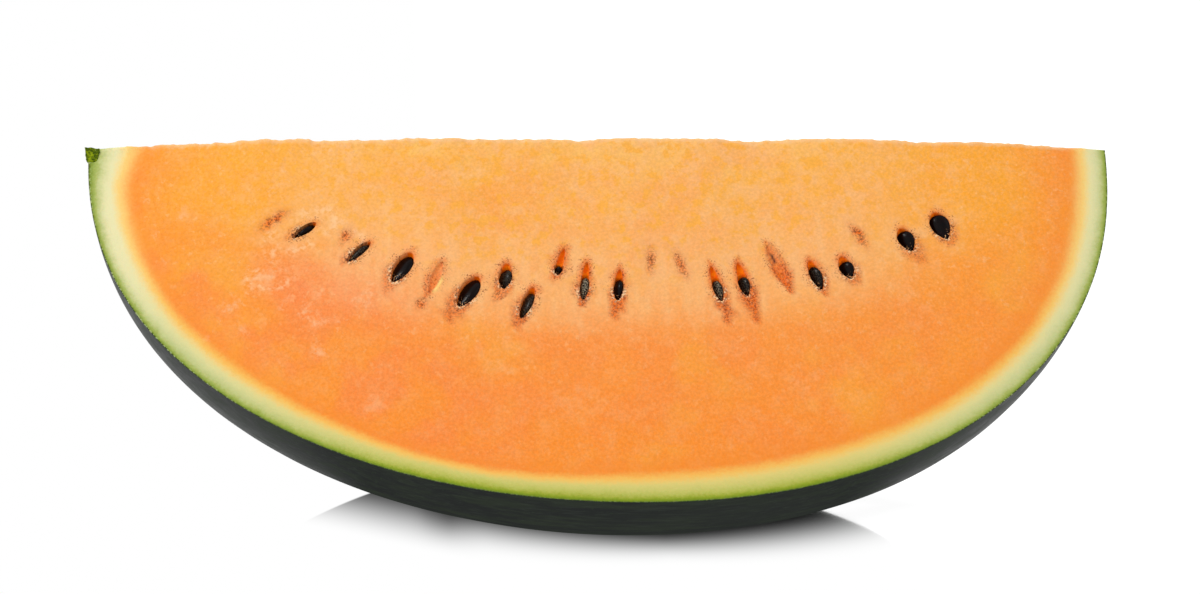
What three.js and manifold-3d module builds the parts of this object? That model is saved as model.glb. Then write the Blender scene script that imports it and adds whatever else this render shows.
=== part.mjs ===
// A quarter of an orange-fleshed watermelon, cut lengthwise and lying on its rind.
// Millimetres, +Z up, with the melon's long axis along X and the stem end at -X.
// The origin is on the surface that the wedge lies on, under the middle of its box.
import * as THREE from "three";
import { mergeVertices } from "three/addons/utils/BufferGeometryUtils.js";
import Module from "manifold-3d";

const wasm = await Module();
wasm.setup();

// Melon
const HALF_LENGTH = 150;
const RADIUS = 113.5;
const EGG = 0.048; // how much fuller the blossom end is than the stem end
const LENGTH_POWER = 2.12; // 2 would be an ellipse, and more is squarer
const RADIUS_POWER = 2.26;

// Cuts
const HALF_ANGLE = THREE.MathUtils.degToRad(45);
const EDGE_ARCH = 3.35; // the top edge's middle stands this much above its ends
const EDGE_POWER = 4; // 2 would be a round arch, and more is flatter in the middle
const EDGE_WAVE = 0.35; // height of the uneven waves along the top edge
const EDGE_TURNS = { slow: 7, middling: 17, fast: 29, shift: 2 }; // radians from the middle to an end
const REST_FLAT = 0.8; // depth of the flat spot under the wedge

// Seed, whole ones being about 10.4 long
const SEED_WIDTH = 6.4;
const SEED_THICKNESS = 2.5;
const SEED_TIP = 0.5; // share of its fullness left at the tip
const SEED_TAPER = 1.5; // more is more pointed

// Ring of seeds, an ellipse on each cut face round the melon's middle
const RING_REACH = 115;
const RING_DEPTH = 49.5;

// Pocket in the flesh round a seed
const POCKET_MARGIN = 0.9; // past the seed on each side
const POCKET_TIP = 1.2; // past the seed's tip
const POCKET_OPEN = 3.2; // width of a pocket whose seed is gone
const POCKET_DEPTH = 0.55; // share of what the seed reaches into the flesh
const SEED_SUNK = 0.85; // the seed's middle lies this deep, as the same share

// Seeds on the front face. x is along the melon and off is the distance from the ring towards the rind.
// show is the length that shows, and gap is how far the pocket stays open past the seed's round end.
// lean turns the tip from straight down towards +X. twist turns the seed about its own length,
// from 0, flat to the cut, to 90, edge on. A pocket that is open has lost its seed.
const FRONT_SEEDS = [
  { x: -87, off: -3, lean: -55, twist: 86, show: 7.4, gap: 0.5 },
  { x: -71.3, off: -2.6, lean: -47, twist: 82, show: 8.4, gap: 0.5 },
  { x: -58.8, off: -1, lean: -32, twist: 41, show: 9.8, gap: 0.5 },
  { x: -48.9, off: 0, lean: -20, show: 11, open: true },
  { x: -39.8, off: 3, lean: -32, twist: 39, show: 10.4, gap: 0.5 },
  { x: -29, off: -3, lean: -8, twist: 59, show: 6.6, gap: 1.5 },
  { x: -23, off: 4.7, lean: -22, twist: 68, show: 9, gap: 1 },
  { x: -13.6, off: -7, lean: -15, twist: 86, show: 3, gap: 5.4 },
  { x: -6.2, off: -1.6, lean: -7, twist: 80, show: 7.7, gap: 4 },
  { x: 3.6, off: -1, lean: -6, twist: 76, show: 7.1, gap: 2.5 },
  { x: 32.5, off: 1.4, lean: 14, twist: 76, show: 7.2, gap: 4 },
  { x: 40.2, off: 0.8, lean: 13, twist: 68, show: 6.6, gap: 4 },
  { x: 49.9, off: -3.7, lean: 21, show: 15, open: true },
  { x: 61.3, off: 3, lean: 20, twist: 65, show: 7.9, gap: 1.5 },
  { x: 70.3, off: 3.2, lean: 21, twist: 54, show: 6, gap: 1 },
  { x: 88.4, off: 1, lean: 24, twist: 44, show: 7, gap: 0.5 },
  { x: 98.8, off: 2.5, lean: 22, twist: 27, show: 8.4, gap: 0.5 },
];

// Seeds on the back face, which are spread by a rule
const BACK_COUNT = 16;
const BACK_REACH = 101;
const BACK_SPREAD = 3.2; // along the ring
const BACK_OFF = 4.5;
const BACK_FAN = 0.4; // degrees of lean for each millimetre from the middle
const BACK_LEAN = 11;
const BACK_TWIST = [8, 86];
const BACK_SHOW = [6.5, 10.4];
const BACK_GAP = [1, 3];
const BACK_OPEN_EVERY = 6; // one pocket in this many is open
const BACK_OPEN_FIRST = 4;
const GOLDEN = 0.618034;
const BACK_DRAWS = {
  x: { step: 3, start: 0.2 },
  off: { step: 2, start: 0.6 },
  lean: { step: 5, start: 0.1 },
  twist: { step: 1, start: 0.8 },
  show: { step: 4, start: 0.4 },
  gap: { step: 1, start: 0.3 },
};

// Corky scar of the stem, a quarter of a rough button on the melon's end
const SCAR_RADIUS = 4.6;
const SCAR_PROUD = 0.9;
const SCAR_ROOT = 4;
const SCAR_LUMPS = 0.16; // share of its radius
const SCAR_WAVES = [
  { round: 9, along: 3 }, // radians for each radian round it, and for each millimetre along it
  { round: 4, along: 2.1 },
];

// Steps along the melon, down a cut face and round the rind
const STATIONS = 42;
const FACE_STEPS = 3;
const RIND_STEPS = 20;
const SCAR_STATIONS = 6;
const SCAR_FACE_STEPS = 2;
const SCAR_ROUND_STEPS = 8;
const SEED_SIDES = 8;
const SEED_STEPS = 6;
const SAME_POINT = 1e-4;

const sin = Math.sin(HALF_ANGLE);
const cos = Math.cos(HALF_ANGLE);

// Distance of the skin from the melon's axis
function radiusAt(x) {
  const t = x / HALF_LENGTH;
  const end = Math.max(0, 1 - Math.abs(t) ** LENGTH_POWER);
  return RADIUS * (1 + EGG * t) * end ** (1 / RADIUS_POWER);
}

// The axis is as high as the melon's widest ring is deep, less the flat spot.
const WIDEST_X = EGG * HALF_LENGTH;
const AXIS_HEIGHT = radiusAt(WIDEST_X) - REST_FLAT;

// Rise of the top edge over the axis
function edgeRise(x) {
  const t = x / HALF_LENGTH;
  const { slow, middling, fast, shift } = EDGE_TURNS;
  const wave = Math.sin(middling * t) + Math.sin(fast * t + shift) * Math.sin(slow * t);
  return EDGE_ARCH * (1 - t ** EDGE_POWER) + EDGE_WAVE * wave * (1 - t * t);
}

// A point on a cut face, at a share of the way from the top edge to the rim. side is -1 in front.
function facePoint(side, x, share, radius, rise) {
  const y = side * share * radius * sin;
  const z = AXIS_HEIGHT + rise * (1 - share) - share * radius * cos;
  return new THREE.Vector3(x, y, z);
}

// A solid between the two cuts, from x0 to x1, with a radius for each x and angle, pointed at both ends
function sectorGeometry(x0, x1, radius, rise, stations, faceSteps, roundSteps) {
  const points = [new THREE.Vector3(x0, 0, AXIS_HEIGHT)];
  for (let i = 1; i < stations; i++) {
    const x = (x0 + x1) / 2 - ((x1 - x0) / 2) * Math.cos((Math.PI * i) / stations);
    const front = radius(x, -HALF_ANGLE);
    const back = radius(x, HALF_ANGLE);
    for (let j = 0; j < faceSteps; j++) points.push(facePoint(-1, x, j / faceSteps, front, rise(x)));
    for (let j = 0; j < roundSteps; j++) {
      const angle = HALF_ANGLE * ((2 * j) / roundSteps - 1);
      const r = radius(x, angle);
      points.push(new THREE.Vector3(x, r * Math.sin(angle), AXIS_HEIGHT - r * Math.cos(angle)));
    }
    for (let j = faceSteps; j > 0; j--) points.push(facePoint(1, x, j / faceSteps, back, rise(x)));
  }
  points.push(new THREE.Vector3(x1, 0, AXIS_HEIGHT));

  const ring = 2 * faceSteps + roundSteps;
  const last = points.length - 1;
  const index = [];
  const at = (i, j) => 1 + (i - 1) * ring + (j % ring);
  for (let j = 0; j < ring; j++) {
    index.push(0, at(1, j + 1), at(1, j));
    for (let i = 1; i < stations - 1; i++) {
      index.push(at(i, j), at(i, j + 1), at(i + 1, j + 1));
      index.push(at(i, j), at(i + 1, j + 1), at(i + 1, j));
    }
    index.push(last, at(stations - 1, j), at(stations - 1, j + 1));
  }
  return new THREE.BufferGeometry().setFromPoints(points).setIndex(index);
}

// The frame of a cut face at x and at a depth from the top edge: X along, Y up the face, Z out of it
function faceFrame(side, x, depth) {
  const radius = radiusAt(x);
  const rise = edgeRise(x);
  const along = new THREE.Vector3(-side, 0, 0);
  const edge = facePoint(side, x, 0, radius, rise);
  const up = edge.clone().sub(facePoint(side, x, 1, radius, rise)).normalize();
  const out = along.clone().cross(up);
  const place = facePoint(side, x, depth / radius, radius, rise);
  return new THREE.Matrix4().makeBasis(along, up, out).setPosition(place);
}

// A seed is round at +Y and drawn to a tip at -Y.
function seedGeometry(length) {
  const profile = [];
  for (let i = 0; i <= SEED_STEPS; i++) {
    const turn = (Math.PI * i) / SEED_STEPS;
    const taper = SEED_TIP + (1 - SEED_TIP) * Math.sin(turn / 2) ** SEED_TAPER;
    profile.push(new THREE.Vector2(Math.sin(turn) * taper, (-Math.cos(turn) * length) / 2));
  }
  profile[0].x = 0;
  profile[SEED_STEPS].x = 0;
  const widest = Math.max(...profile.map((p) => p.x));
  const seed = new THREE.LatheGeometry(profile, SEED_SIDES);
  return seed.scale(SEED_WIDTH / 2 / widest, 1, SEED_THICKNESS / 2 / widest);
}

// A pocket is pointed at both ends, like a lens.
function pocketGeometry(length, width, depth) {
  const profile = [];
  for (let i = 0; i <= SEED_STEPS; i++) {
    const y = -1 + (2 * i) / SEED_STEPS;
    profile.push(new THREE.Vector2(1 - y * y, (y * length) / 2));
  }
  return new THREE.LatheGeometry(profile, SEED_SIDES).scale(width / 2, 1, depth);
}

// How far a twisted seed reaches to each side across the cut, and into the flesh
function seedReach(twist) {
  const w = SEED_WIDTH / 2;
  const h = SEED_THICKNESS / 2;
  return {
    across: Math.hypot(w * Math.cos(twist), h * Math.sin(twist)),
    into: Math.hypot(w * Math.sin(twist), h * Math.cos(twist)),
  };
}

// The back face's seeds, at even steps with offsets that don't repeat
function backSeeds() {
  return Array.from({ length: BACK_COUNT }, (_, n) => {
    const drawn = (key) => (BACK_DRAWS[key].step * n * GOLDEN + BACK_DRAWS[key].start) % 1;
    const between = ([low, high], key) => low + (high - low) * drawn(key);
    const eitherWay = (size, key) => size * (2 * drawn(key) - 1);
    const x = BACK_REACH * ((2 * n) / (BACK_COUNT - 1) - 1) + eitherWay(BACK_SPREAD, "x");
    return {
      x,
      off: eitherWay(BACK_OFF, "off"),
      lean: -BACK_FAN * x + eitherWay(BACK_LEAN, "lean"), // from behind, +X is on the left
      twist: between(BACK_TWIST, "twist"),
      show: between(BACK_SHOW, "show"),
      gap: between(BACK_GAP, "gap"),
      open: n % BACK_OPEN_EVERY === BACK_OPEN_FIRST,
    };
  });
}

// A closed geometry as a solid
function solid(geometry) {
  const bare = geometry.clone();
  bare.deleteAttribute("normal");
  bare.deleteAttribute("uv");
  const merged = mergeVertices(bare, SAME_POINT);
  return new wasm.Manifold(
    new wasm.Mesh({
      numProp: 3,
      vertProperties: new Float32Array(merged.attributes.position.array),
      triVerts: new Uint32Array(merged.index.array),
    }),
  );
}

// A pocket and its seed, placed on a cut face
function seedSolids(side, spec) {
  const ringShare = spec.x / RING_REACH;
  const depth = RING_DEPTH * Math.sqrt(1 - ringShare * ringShare) + spec.off;
  const lean = THREE.MathUtils.degToRad(spec.lean);
  const place = faceFrame(side, spec.x, depth).multiply(new THREE.Matrix4().makeRotationZ(lean));
  if (spec.open) {
    const empty = pocketGeometry(spec.show, POCKET_OPEN, POCKET_DEPTH * POCKET_OPEN);
    return { pocket: solid(empty.applyMatrix4(place)) };
  }

  const twist = THREE.MathUtils.degToRad(spec.twist);
  const reach = seedReach(twist);
  const length = POCKET_TIP + spec.show + spec.gap;
  const pocket = pocketGeometry(length, 2 * (reach.across + POCKET_MARGIN), POCKET_DEPTH * reach.into);
  pocket.translate(0, (spec.gap - POCKET_TIP) / 2, 0).applyMatrix4(place);
  const seed = seedGeometry(spec.show).rotateY(-twist);
  seed.translate(0, 0, -SEED_SUNK * reach.into).applyMatrix4(place);
  return { pocket: solid(pocket), seed: solid(seed) };
}

// The wedge as grown: flesh and rind in one, with its scar
function wedgeSolid() {
  const body = sectorGeometry(
    -HALF_LENGTH,
    HALF_LENGTH,
    radiusAt,
    edgeRise,
    STATIONS,
    FACE_STEPS,
    RIND_STEPS,
  );
  const scarHalf = (SCAR_PROUD + SCAR_ROOT) / 2;
  const scarMiddle = -HALF_LENGTH - SCAR_PROUD + scarHalf;
  const scarRadius = (x, angle) => {
    const t = (x - scarMiddle) / scarHalf;
    const waves = SCAR_WAVES.map(({ round, along }) => Math.sin(round * angle + along * x));
    return SCAR_RADIUS * (1 + SCAR_LUMPS * waves[0] * waves[1]) * Math.sqrt(1 - t ** 4);
  };
  const scar = sectorGeometry(
    -HALF_LENGTH - SCAR_PROUD,
    -HALF_LENGTH + SCAR_ROOT,
    scarRadius,
    () => 0,
    SCAR_STATIONS,
    SCAR_FACE_STEPS,
    SCAR_ROUND_STEPS,
  );
  const below = new THREE.BoxGeometry(2 * HALF_LENGTH, 2 * RADIUS, RADIUS);
  below.translate(0, 0, -RADIUS / 2);
  return solid(body).add(solid(scar)).subtract(solid(below));
}

function wedgeGeometry() {
  let wedge = wedgeSolid();
  const all = [
    ...FRONT_SEEDS.map((spec) => seedSolids(-1, spec)),
    ...backSeeds().map((spec) => seedSolids(1, spec)),
  ];
  for (const { pocket } of all) wedge = wedge.subtract(pocket);
  for (const { seed } of all) if (seed) wedge = wedge.add(seed);

  const mesh = wedge.getMesh();
  const geometry = new THREE.BufferGeometry();
  geometry.setAttribute("position", new THREE.BufferAttribute(mesh.vertProperties, 3));
  geometry.setIndex(new THREE.BufferAttribute(mesh.triVerts, 1));
  geometry.computeBoundingBox();
  const middle = geometry.boundingBox.getCenter(new THREE.Vector3());
  geometry.translate(-middle.x, -middle.y, -geometry.boundingBox.min.z);
  geometry.computeVertexNormals();
  return geometry;
}

const flesh = new THREE.MeshStandardMaterial({ color: 0xfb9641, roughness: 0.45, metalness: 0 });
const watermelonWedge = new THREE.Mesh(wedgeGeometry(), flesh);
watermelonWedge.name = "watermelon_wedge";

const group = new THREE.Group();
group.add(watermelonWedge);
export default group;
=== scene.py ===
# A quarter of an orange-fleshed watermelon, cut lengthwise and lying on its rind, in a white studio.
# Forms are worked out in millimetres, with x counted from the melon's middle, and end up in metres.
import itertools
import math

import bmesh
import bpy
import numpy as np
from mathutils import Matrix, Vector, kdtree


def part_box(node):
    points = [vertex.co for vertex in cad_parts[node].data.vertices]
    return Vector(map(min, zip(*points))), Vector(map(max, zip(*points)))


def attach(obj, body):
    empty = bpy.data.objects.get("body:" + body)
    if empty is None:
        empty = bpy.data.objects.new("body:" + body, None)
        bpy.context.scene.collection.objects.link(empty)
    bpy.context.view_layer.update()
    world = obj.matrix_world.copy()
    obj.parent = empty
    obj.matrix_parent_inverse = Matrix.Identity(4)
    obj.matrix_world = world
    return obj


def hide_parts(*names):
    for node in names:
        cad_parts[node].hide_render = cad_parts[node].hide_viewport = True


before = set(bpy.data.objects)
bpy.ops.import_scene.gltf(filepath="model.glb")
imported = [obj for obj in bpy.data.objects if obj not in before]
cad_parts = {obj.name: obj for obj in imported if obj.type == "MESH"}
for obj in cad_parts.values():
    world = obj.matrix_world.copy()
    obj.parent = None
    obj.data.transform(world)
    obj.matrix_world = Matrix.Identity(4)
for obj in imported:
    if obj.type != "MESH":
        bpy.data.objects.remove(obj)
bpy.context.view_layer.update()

NODE = "watermelon_wedge"
MM = 0.001
node_low, node_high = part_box(NODE)

# Melon: half the wedge's angle, how much fuller the blossom end is, the powers of the skin's curve, how
# the cut edge arches and waves, how much is missing at the flat spot, and the scar of the stem
HALF_ANGLE = math.radians(45)
EGG = 0.048
LENGTH_POWER = 2.12
RADIUS_POWER = 2.26
EDGE_ARCH = 3.35
EDGE_POWER = 4
EDGE_WAVE = 0.35
REST_FLAT = 0.8
SCAR_RADIUS = 4.6
SCAR_PROUD = 0.9
SCAR_ROOT = 3.2
SCAR_LIFT = 0.25
HALF_LENGTH = ((node_high.x - node_low.x) / MM - SCAR_PROUD) / 2
MIDDLE_X = node_high.x / MM - HALF_LENGTH
SIN = math.sin(HALF_ANGLE)
COS = math.cos(HALF_ANGLE)


def fullness(x):
    """The skin's distance from the axis, as a share of the melon's nominal radius."""
    t = x / HALF_LENGTH
    return (1 + EGG * t) * np.clip(1 - np.abs(t) ** LENGTH_POWER, 0, None) ** (1 / RADIUS_POWER)


WIDEST = node_high.y / MM / SIN
RADIUS = WIDEST / fullness(np.linspace(-HALF_LENGTH, HALF_LENGTH, 2001)).max()
AXIS_HEIGHT = WIDEST - REST_FLAT

# Mesh: steps along the melon, down a cut face and round the rind
STATIONS = 216
FACE_STEPS = 52
RIND_STEPS = 36

# Bands along the cut edge and the rim that get finer faces, and how round the cut edge is
RIDGE_BAND = 3.0
RIM_BAND = 2.0
RIDGE_ROUND = 0.8

# Seeds and their ring on the cut face
SEED_WIDTH = 6.4
SEED_THICKNESS = 2.5
SEED_WIDEST = 0.6  # how far from its tip to its round end a seed is widest, as a share
SEED_STRETCH = 1.04  # how long a seed is for the length that shows
SEED_SUNK = 0.85  # how deep a seed's middle lies, for its reach into the flesh
RING_REACH = 115.0  # how far along the melon the ring would meet the cut edge
RING_DEPTH = 49.5  # how far down the cut face the ring is in the middle

# Pockets in the flesh round the seeds
POCKET_MARGIN = 0.08  # past the seed on each side
POCKET_UNDER = 0.3  # how far under the seed's widest line the flesh meets it
POCKET_DEPTH = 0.3  # how deep the gap over a seed is, for the seed's reach into the flesh
GAP_WIDTH = 0.95  # how wide that gap is, for the seed's width
GAP_END = 0.4
OPEN_WIDTH = 3.0  # a pocket that lost its seed
OPEN_DEPTH = 0.18
OPEN_COLOUR = 0.3  # how strong its colour is, for that of the gap over a seed
SNAP = 0.22  # points this near a pocket's outline are drawn onto it
LIP_HEIGHT = 0.12
LIP_REACH = 0.6

# The rind: how deep its colours go on changing, and the thickness that its ragged border is measured by
RIND_TONE = 8.0
RIND_USUAL = 9.0

# Marks round the pockets
CHAMBER_WIDTH = 1.5  # past the seed on each side
CHAMBER_OVER = 1.5  # past the gap's end
CHAMBER_DRIFT = 0.8  # how far its foot strays outwards
HALO = 4.0
CRUST_REACH = 0.95
STAIN_WIDTH = 2.8
RED_ALONG = -0.5  # where the flesh is reddest along the melon, as a share of its half length
RED_SHARE = 0.46  # and on the way from the cut edge to the rim


def table(keys, *rows):
    """Rows of numbers as dicts, with all the keys in one string."""
    return [dict(zip(keys.split(), row)) for row in rows]


# Seeds on the front face. x is along the melon and off is the distance from the ring towards the rind.
# show is the length that shows, and gap is how far the pocket stays open past the seed's round end.
# lean turns the tip from straight down towards +X. twist turns the seed about its own length,
# from 0, flat to the cut, to 90, edge on. tail is the length of the stain below the tip, and worn is
# how much of the coat is scraped.
FRONT_SEEDS = table(
    "x off lean twist show gap tail worn",
    (-87, -3, -55, 86, 7.4, 0.3, 3, 0.0),
    (-71.3, -2.6, -47, 82, 8.4, 0.3, 3, 0.15),
    (-58.8, -1, -32, 41, 9.8, 0.3, 5, 0.0),
    (-39.8, 3, -32, 39, 10.4, 0.3, 7, 0.0),
    (-29, -3, -8, 59, 6.6, 1.2, 4, 0.1),
    (-23, 4.7, -22, 68, 9, 1, 5, 0.1),
    (-13.6, -7, -15, 86, 3, 5.4, 2, 0.0),
    (-6.2, -1.6, -7, 80, 7.7, 4, 3, 0.8),
    (3.6, -1, -6, 76, 7.1, 2.2, 7, 0.0),
    (32.5, 1.4, 14, 76, 7.2, 3.8, 8, 0.55),
    (40.2, 0.8, 13, 68, 6.6, 3.8, 9, 0.1),
    (61.3, 3, 20, 65, 7.9, 1.5, 3, 0.1),
    (70.3, 3.2, 21, 54, 6, 1, 3, 0.0),
    (88.4, 1, 24, 44, 7, 0.3, 5, 0.0),
    (98.8, 2.5, 22, 27, 8.4, 0.3, 3, 0.0),
)

# Open pockets that lost their seeds
FRONT_OPEN = [
    dict(x=-48.9, off=0, lean=-21, show=11, tail=2, lip=1),
    dict(x=49.9, off=-3.7, lean=21, show=15, tail=3, slit=(0.5, 5.0)),
]

# Stains where the cut just missed a seed. deep is how deep their colour is.
FRONT_STAINS = table(
    "x off lean show deep",
    (-95.9, -0.9, -55, 7.7, 1.2),
    (-74.9, -6.2, -32, 4.8, 1.2),
    (-53.1, 8.7, -31, 3.9, 1.2),
    (-31, 2.1, -33, 4.8, 0.8),
    (13.3, -9.8, -2, 7.9, 0.8),
    (22.1, -7.5, 19, 7.4, 0.8),
    (74.4, -6.3, 33, 6.8, 1.2),
)

# Whitish veins that curve round a place in the flesh, show long and twice wide across
FRONT_VEINS = table(
    "x off lean show wide",
    (-96.5, 17.5, -80, 12.5, 3.2),
    (-88, -2, -60, 21, 4.6),
    (-74, -4, -40, 9, 3.4),
)

# Seeds on the back face, which are spread by a rule
BACK_COUNT = 16
BACK_REACH = 101
BACK_SPREAD = 3.2
BACK_OFF = 4.5
BACK_FAN = 0.4
BACK_LEAN = 11
BACK_OPEN_EVERY = 6
GOLDEN = 0.618034

# Studio: how bright a white surface shows, and what gloss adds to every colour
LIGHT = 1.37
HAZE = 0.012

# The table's polished place: how far it reaches in front of its middle, how that falls off to the sides,
# and how wide its soft border is there. It ends before the stem side, where the shade takes over.
POLISH_MIDDLE = 20
POLISH_REACH = 33.5
POLISH_CURVE = 0.0041
POLISH_FADE = 17.5
POLISH_SPREAD = 0.15
POLISH_END = -51
POLISH_BLEND = 8
FLOOR_GLOW = 1.0
FLOOR_REACH = 3.0  # from its middle to its sides, in metres

# The fan-shaped painted shade on the table at the stem side. Its back edge is SHADE_BACK behind the
# middle at SHADE_START, and slopes and bends forwards from there. It gets lighter outwards and forwards.
SHADE_START = -58
SHADE_BACK = 21.3
SHADE_SLOPE = 0.765
SHADE_BEND = 0.0115
SHADE_EDGE = 0.8
SHADE_ALONG = 0.0145
SHADE_ACROSS = 0.0235
SHADE_DEEP = 0.269
SHADE_MOST = 0.93
SHADE_MEETS = -42  # where it gives way to what the polished place mirrors
SHADE_BLEND = 10

# Camera, as the photograph was taken
PHOTO_WIDTH = 1200
FOCAL_PIXELS = 3372
SENSOR_WIDTH = 36
DISTANCE = 1008
ELEVATION = math.radians(17.78)
YAW = math.radians(3.42)
ROLL = math.radians(0.93)
AIM_X = 0.38
AIM_BELOW_AXIS = 45.83


def radius_at(x):
    """The skin's distance from the melon's axis."""
    return RADIUS * fullness(x)


def edge_rise(x):
    """How far the cut edge stands over the melon's axis."""
    t = x / HALF_LENGTH
    wave = np.sin(17 * t) + np.sin(29 * t + 2) * np.sin(7 * t)
    return EDGE_ARCH * (1 - t**EDGE_POWER) + EDGE_WAVE * wave * (1 - t * t)


def face_point(side, x, share):
    """Points on a cut face, at a share of the way from the cut edge to the rim. side is -1 in front."""
    r = radius_at(x)
    y = side * share * r * SIN
    z = AXIS_HEIGHT + edge_rise(x) * (1 - share) - share * r * COS
    return np.stack([x, y + 0 * x, z], -1)


def lumps(points, size, seed):
    """Smooth noise from -1 to 1 at points in millimetres, with lumps about size across."""
    count = 32
    table = np.random.default_rng(seed).uniform(-1, 1, (count, count, count))
    p = np.asarray(points, float) / size
    cell = np.floor(p).astype(int)
    f = p - cell
    f = f * f * (3 - 2 * f)
    total = np.zeros(len(p))
    for corner in itertools.product((0, 1), repeat=3):
        weight = np.prod(np.where(corner, f, 1 - f), axis=1)
        i, j, k = ((cell + corner) % count).T
        total += weight * table[i, j, k]
    return total


def smooth(value, low, high):
    """0 up to low, 1 from high, and an S between them."""
    s = np.clip((value - low) / (high - low), 0, 1)
    return s * s * (3 - 2 * s)


def bell(t):
    """1 at 0, and next to nothing from 2 to either side."""
    return np.exp(-(t**2))


def uneven(n, times, salt):
    """A share from 0 to 1 that differs from seed to seed."""
    return (times * n * GOLDEN + salt) % 1


def back_seeds():
    """The back face's seeds and open pockets, at even steps with offsets that don't repeat."""
    seeds, empty = [], []
    for n in range(BACK_COUNT):
        x = BACK_REACH * (2 * n / (BACK_COUNT - 1) - 1) + BACK_SPREAD * (2 * uneven(n, 3, 0.2) - 1)
        spec = dict(
            x=x,
            off=BACK_OFF * (2 * uneven(n, 2, 0.6) - 1),
            lean=-BACK_FAN * x + BACK_LEAN * (2 * uneven(n, 5, 0.1) - 1),
            twist=8 + 78 * uneven(n, 1, 0.8),
            show=6.5 + 3.9 * uneven(n, 4, 0.4),
            gap=1 + 2 * uneven(n, 1, 0.3),
            tail=2 + 6 * uneven(n, 3, 0.5),
            worn=max(0, uneven(n, 7, 0.3) - 0.6),
        )
        (empty if n % BACK_OPEN_EVERY == BACK_OPEN_EVERY - 2 else seeds).append(spec)
    return seeds, empty


BACK_SEEDS, BACK_OPEN = back_seeds()
SEEDS = {-1: FRONT_SEEDS, 1: BACK_SEEDS}
OPEN = {-1: FRONT_OPEN, 1: BACK_OPEN}
STAINS = {-1: FRONT_STAINS, 1: []}
VEINS = {-1: FRONT_VEINS, 1: []}


def depth_of(spec):
    """How far down the cut face a seed lies."""
    return RING_DEPTH * math.sqrt(1 - (spec["x"] / RING_REACH) ** 2) + spec["off"]


def seed_reach(twist):
    """How far a twisted seed reaches to each side across the cut, and into the flesh."""
    w, h = SEED_WIDTH / 2, SEED_THICKNESS / 2
    across = math.hypot(w * math.cos(twist), h * math.sin(twist))
    into = math.hypot(w * math.sin(twist), h * math.cos(twist))
    return across, into


def across_and_along(side, x, depth, spec):
    """Places on a cut face as seen from a seed: across it, and along it from tip to round end."""
    lean = math.radians(spec["lean"])
    right = -side * (x - spec["x"])
    up = depth_of(spec) - depth
    return right * math.cos(lean) + up * math.sin(lean), up * math.cos(lean) - right * math.sin(lean)


def seed_outline(s):
    """A seed's half width at shares of its length from its tip, as a share of its greatest."""
    lower = 0.1 * smooth(s, 0, 0.04) + 0.9 * np.sin(np.pi / 2 * np.clip(s / SEED_WIDEST, 0, 1)) ** 0.85
    upper = np.sqrt(np.clip(1 - ((s - SEED_WIDEST) / (1 - SEED_WIDEST)) ** 2, 0, 1))
    return np.where(s < SEED_WIDEST, lower, upper)


def pocket_ends(spec, is_open):
    """A pocket's lower and upper end along the seed."""
    half = spec["show"] / 2
    return (-half, half) if is_open else (-SEED_STRETCH * half, half + spec["gap"] + GAP_END)


def pocket_shape(spec, is_open, v):
    """A pocket's half width at places along it: round its seed, and where it stays open."""
    low, high = pocket_ends(spec, is_open)
    if is_open:
        return 0 * v, OPEN_WIDTH / 2 * np.clip(1 - (v / high) ** 2, 0, 1) ** 0.8
    twist = math.radians(spec["twist"])
    across, _ = seed_reach(twist)
    outline = seed_outline(np.clip(0.5 + v / (SEED_STRETCH * spec["show"]), 0, 1))
    wide = SEED_WIDTH / 2 * outline * math.cos(twist)
    thick = SEED_THICKNESS / 2 * outline**0.8 * math.sin(twist)
    start = (SEED_WIDEST - 0.5) * spec["show"]
    past = (v - start) / (high - start)
    gap = GAP_WIDTH * across * np.where(past > 0, np.clip(1 - past**2, 0, 1) ** 0.5, 0)
    return np.hypot(wide, thick) + POCKET_MARGIN * (outline > 0), gap


def pocket_reach(spec, is_open):
    """A pocket's reach to each side and into the flesh, and how much deeper a twisted seed's far side is."""
    if is_open:
        return OPEN_WIDTH / 2, OPEN_WIDTH, 0
    twist = math.radians(spec["twist"])
    across, into = seed_reach(twist)
    skew = (SEED_WIDTH**2 - SEED_THICKNESS**2) / 4 * math.sin(twist) * math.cos(twist) / across
    return across, into, skew


def all_pockets(side):
    """Each pocket on a side, with whether it is open."""
    return [(s, False) for s in SEEDS[side]] + [(s, True) for s in OPEN[side]]


# Meshes


def smooth_mesh(name, points, faces):
    """A smooth mesh of points in millimetres."""
    mesh = bpy.data.meshes.new(name)
    mesh.from_pydata(points * MM, [], faces)
    mesh.shade_smooth()
    return mesh


def add_masks(mesh, masks):
    """Adds a number for each point under each name, for the material to read."""
    for key, values in masks.items():
        mesh.attributes.new(key, "FLOAT", "POINT").data.foreach_set("value", np.array(values, np.float32))


def closed_rings(parts, first_x, last_x):
    """Points and faces of rings that stand along the melon, closed by a point on the axis at each end."""
    rings = np.concatenate(parts, axis=1)
    rows, ring = rings.shape[:2]
    points = np.concatenate([rings.reshape(-1, 3), [[first_x, 0, AXIS_HEIGHT], [last_x, 0, AXIS_HEIGHT]]])
    first, last = len(points) - 2, len(points) - 1
    end = (rows - 1) * ring
    faces = []
    for j in range(ring):
        k = (j + 1) % ring
        faces += [(first, k, j), (last, end + j, end + k)]
        faces += [(a + j, a + k, a + ring + k, a + ring + j) for a in range(0, end, ring)]
    return points, faces


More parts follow.
